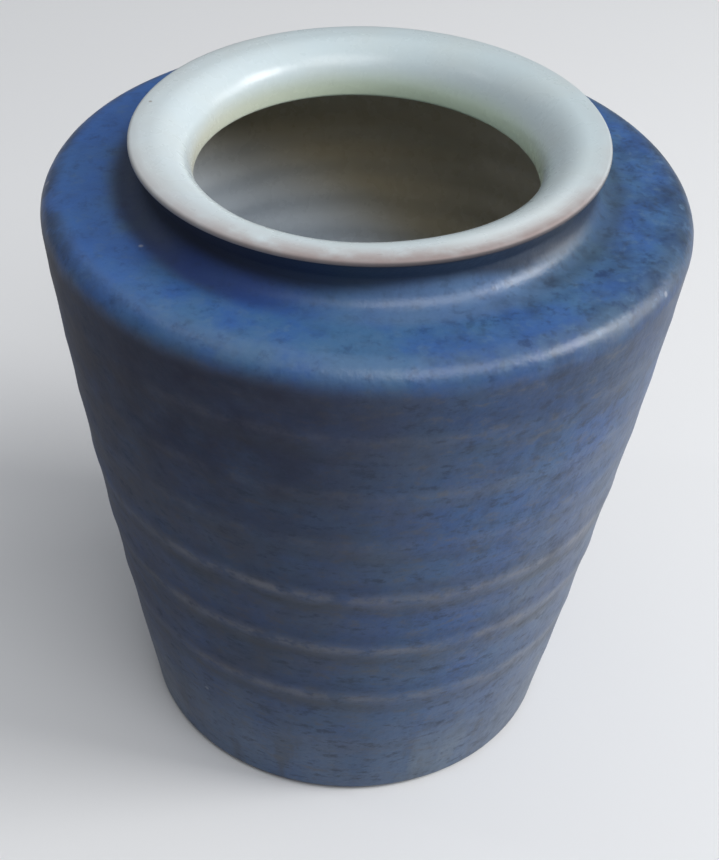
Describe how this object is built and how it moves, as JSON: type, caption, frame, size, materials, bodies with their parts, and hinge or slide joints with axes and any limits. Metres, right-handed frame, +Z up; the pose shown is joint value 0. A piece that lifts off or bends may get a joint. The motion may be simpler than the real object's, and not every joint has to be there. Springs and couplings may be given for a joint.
{
  "type": "ceramic vase",
  "caption": "Small thrown stoneware vase: wall widening to a broad rounded shoulder, short neck and flared lip, satin blue outside and pale glaze inside, for standing flowers in.",
  "frame": {"origin": "centre of the foot, on the surface that the vase stands on", "axes": "+Z up along the axis that the vase was turned on; X and Y are alike, because the form is round"},
  "size_m": [0.086, 0.086, 0.0949],
  "materials": {
    "bare_stoneware": "bare fired stoneware, matt and slightly gritty",
    "satin_blue_glaze": "satin-matt mottled blue, breaking to tan grey on the throwing ridges",
    "pale_celadon_glaze": "smooth glossy pale blue-green, thinning to tan pink at the lip"
  },
  "bodies": {
    "root": {"clay_body": "bare_stoneware", "blue_glaze": "satin_blue_glaze", "pale_glaze": "pale_celadon_glaze"}
  },
  "joints": []
}
